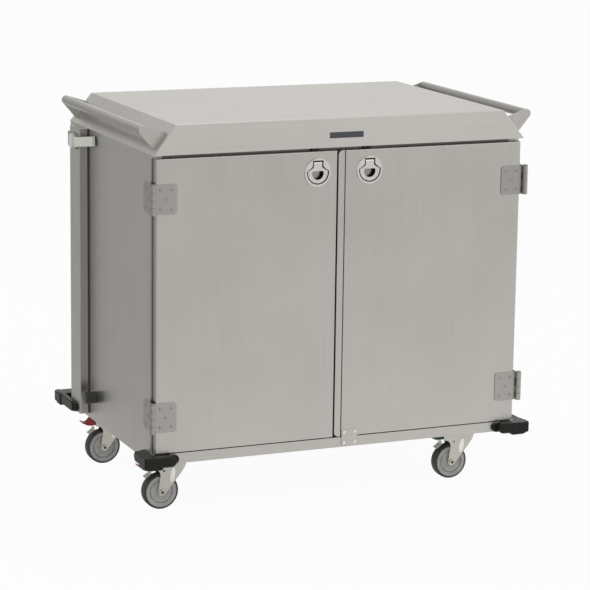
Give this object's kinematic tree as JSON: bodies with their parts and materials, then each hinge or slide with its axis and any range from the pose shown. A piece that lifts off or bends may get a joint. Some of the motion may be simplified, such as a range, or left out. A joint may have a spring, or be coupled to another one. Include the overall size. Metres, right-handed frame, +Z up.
{
  "type": "case cart",
  "caption": "Closed hospital case cart: a stainless steel cabinet with hinged double doors, latches, push handles and corner bumpers, on swivel casters with foot brakes.",
  "frame": {"origin": "on the floor under the middle of the cart", "axes": "+X to the right of someone facing the doors, +Y to the rear, +Z up"},
  "size_m": [1.26, 0.818, 1.145],
  "materials": {
    "stainless_panel": "brushed sheet",
    "stainless_fitting": "satin",
    "polished_latch": "polished",
    "plated_steel": "bright plated",
    "bumper_rubber": "moulded",
    "stop_rubber": "moulded",
    "seal_rubber": "extruded",
    "catch_plastic": "moulded",
    "tyre": "moulded",
    "wheel_plastic": "moulded",
    "red_pedal": "moulded",
    "green_pedal": "moulded"
  },
  "bodies": {
    "cabinet": {"base_pan": "stainless_panel", "base_channels": "stainless_panel", "left_side_panel": "stainless_panel", "right_side_panel": "stainless_panel", "rear_panel": "stainless_panel", "front_header": "stainless_panel", "roof_liner": "stainless_panel", "lid_shell": "stainless_panel", "left_handle": "stainless_panel", "right_handle": "stainless_panel", "handle_brackets": "stainless_panel", "left_post": "stainless_panel", "right_post": "stainless_panel", "rubber_door_stops": "stop_rubber", "front_left_bumper": "bumper_rubber", "front_right_bumper": "bumper_rubber", "rear_left_bumper": "bumper_rubber", "rear_right_bumper": "bumper_rubber", "catch_bases": "stainless_fitting", "shelf_runners": "stainless_panel", "shelves": "stainless_panel", "door_seal": "seal_rubber", "hinge_body_leaves": "stainless_fitting", "hinge_pins": "stainless_fitting", "latch_keepers": "stainless_fitting", "caster_top_plates": "plated_steel"},
    "left_door": {"left_door_outer_pan": "stainless_panel", "left_door_inner_pan": "stainless_panel", "left_meeting_seal": "seal_rubber", "left_hinge_door_leaves": "stainless_fitting", "left_latch_dish": "polished_latch"},
    "right_door": {"right_door_outer_pan": "stainless_panel", "right_door_inner_pan": "stainless_panel", "right_meeting_strip": "stainless_panel", "bottom_stop_plate": "stainless_panel", "right_hinge_door_leaves": "stainless_fitting", "right_latch_dish": "polished_latch"},
    "left_pull": {"left_latch_pull": "polished_latch"},
    "right_pull": {"right_latch_pull": "polished_latch"},
    "left_bolt": {"left_latch_bolt": "stainless_fitting"},
    "right_bolt": {"right_latch_bolt": "stainless_fitting"},
    "left_hold_open": {"left_catch": "catch_plastic"},
    "right_hold_open": {"right_catch": "catch_plastic"},
    "front_left_swivel": {"front_left_caster_fork": "plated_steel"},
    "front_left_wheel": {"front_left_caster_hub": "wheel_plastic", "front_left_caster_tyre": "tyre"},
    "front_left_brake": {"front_left_caster_pedal": "red_pedal"},
    "front_right_swivel": {"front_right_caster_fork": "plated_steel"},
    "front_right_wheel": {"front_right_caster_hub": "wheel_plastic", "front_right_caster_tyre": "tyre"},
    "front_right_brake": {"front_right_caster_pedal": "green_pedal"},
    "rear_left_swivel": {"rear_left_caster_fork": "plated_steel"},
    "rear_left_wheel": {"rear_left_caster_hub": "wheel_plastic", "rear_left_caster_tyre": "tyre"},
    "rear_left_brake": {"rear_left_caster_pedal": "red_pedal"},
    "rear_right_swivel": {"rear_right_caster_fork": "plated_steel"},
    "rear_right_wheel": {"rear_right_caster_hub": "wheel_plastic", "rear_right_caster_tyre": "tyre"},
    "rear_right_brake": {"rear_right_caster_pedal": "green_pedal"}
  },
  "joints": [
    {"name": "left_door_swing", "type": "hinge", "parent": "cabinet", "child": "left_door", "pos_m": [-0.5885, -0.385, 0.6], "axis": [0, 0, -1], "range_deg": [0, 267.3]},
    {"name": "left_pull_lift", "type": "hinge", "parent": "left_door", "child": "left_pull", "pos_m": [-0.082, -0.374, 1.016], "axis": [-1, 0, 0], "range_deg": [0, 35], "stiffness_Nm_per_rad": 0.2, "springref_deg": -20.05},
    {"name": "left_bolt_draw", "type": "slide", "parent": "left_door", "child": "left_bolt", "axis": [0, 0, -1], "range_m": [0, 0.01]},
    {"name": "left_catch_rock", "type": "hinge", "parent": "cabinet", "child": "left_hold_open", "pos_m": [-0.6196, 0.208, 1.02], "axis": [0, 0, -1], "range_deg": [0, 5], "stiffness_Nm_per_rad": 1},
    {"name": "right_door_swing", "type": "hinge", "parent": "cabinet", "child": "right_door", "pos_m": [0.5885, -0.385, 0.6], "axis": [0, 0, 1], "range_deg": [0, 267.3]},
    {"name": "right_pull_lift", "type": "hinge", "parent": "right_door", "child": "right_pull", "pos_m": [0.082, -0.374, 1.016], "axis": [-1, 0, 0], "range_deg": [0, 35], "stiffness_Nm_per_rad": 0.2, "springref_deg": -20.05},
    {"name": "right_bolt_draw", "type": "slide", "parent": "right_door", "child": "right_bolt", "axis": [0, 0, -1], "range_m": [0, 0.01]},
    {"name": "right_catch_rock", "type": "hinge", "parent": "cabinet", "child": "right_hold_open", "pos_m": [0.6196, 0.208, 1.02], "axis": [0, 0, 1], "range_deg": [0, 5], "stiffness_Nm_per_rad": 1},
    {"name": "front_left_swivel_turn", "type": "hinge", "parent": "cabinet", "child": "front_left_swivel", "pos_m": [-0.471, -0.262, 0.14], "axis": [0, 0, 1], "continuous": true},
    {"name": "front_left_wheel_roll", "type": "hinge", "parent": "front_left_swivel", "child": "front_left_wheel", "pos_m": [-0.521, -0.262, 0.0535], "axis": [0, 1, 0], "continuous": true},
    {"name": "front_left_pedal_press", "type": "hinge", "parent": "front_left_swivel", "child": "front_left_brake", "pos_m": [-0.541, -0.262, 0.132], "axis": [0, -1, 0], "range_deg": [0, 12]},
    {"name": "front_right_swivel_turn", "type": "hinge", "parent": "cabinet", "child": "front_right_swivel", "pos_m": [0.471, -0.262, 0.14], "axis": [0, 0, 1], "continuous": true},
    {"name": "front_right_wheel_roll", "type": "hinge", "parent": "front_right_swivel", "child": "front_right_wheel", "pos_m": [0.421, -0.262, 0.0535], "axis": [0, 1, 0], "continuous": true},
    {"name": "front_right_pedal_press", "type": "hinge", "parent": "front_right_swivel", "child": "front_right_brake", "pos_m": [0.401, -0.262, 0.132], "axis": [0, -1, 0], "range_deg": [0, 12]},
    {"name": "rear_left_swivel_turn", "type": "hinge", "parent": "cabinet", "child": "rear_left_swivel", "pos_m": [-0.471, 0.262, 0.14], "axis": [0, 0, 1], "continuous": true},
    {"name": "rear_left_wheel_roll", "type": "hinge", "parent": "rear_left_swivel", "child": "rear_left_wheel", "pos_m": [-0.521, 0.262, 0.0535], "axis": [0, 1, 0], "continuous": true},
    {"name": "rear_left_pedal_press", "type": "hinge", "parent": "rear_left_swivel", "child": "rear_left_brake", "pos_m": [-0.541, 0.262, 0.132], "axis": [0, -1, 0], "range_deg": [0, 12]},
    {"name": "rear_right_swivel_turn", "type": "hinge", "parent": "cabinet", "child": "rear_right_swivel", "pos_m": [0.471, 0.262, 0.14], "axis": [0, 0, 1], "continuous": true},
    {"name": "rear_right_wheel_roll", "type": "hinge", "parent": "rear_right_swivel", "child": "rear_right_wheel", "pos_m": [0.421, 0.262, 0.0535], "axis": [0, 1, 0], "continuous": true},
    {"name": "rear_right_pedal_press", "type": "hinge", "parent": "rear_right_swivel", "child": "rear_right_brake", "pos_m": [0.401, 0.262, 0.132], "axis": [0, -1, 0], "range_deg": [0, 12]}
  ],
  "couplings": [
    {"joint": "left_pull_lift", "follows": "left_bolt_draw", "rad_per_m": 61},
    {"joint": "right_pull_lift", "follows": "right_bolt_draw", "rad_per_m": 61}
  ]
}
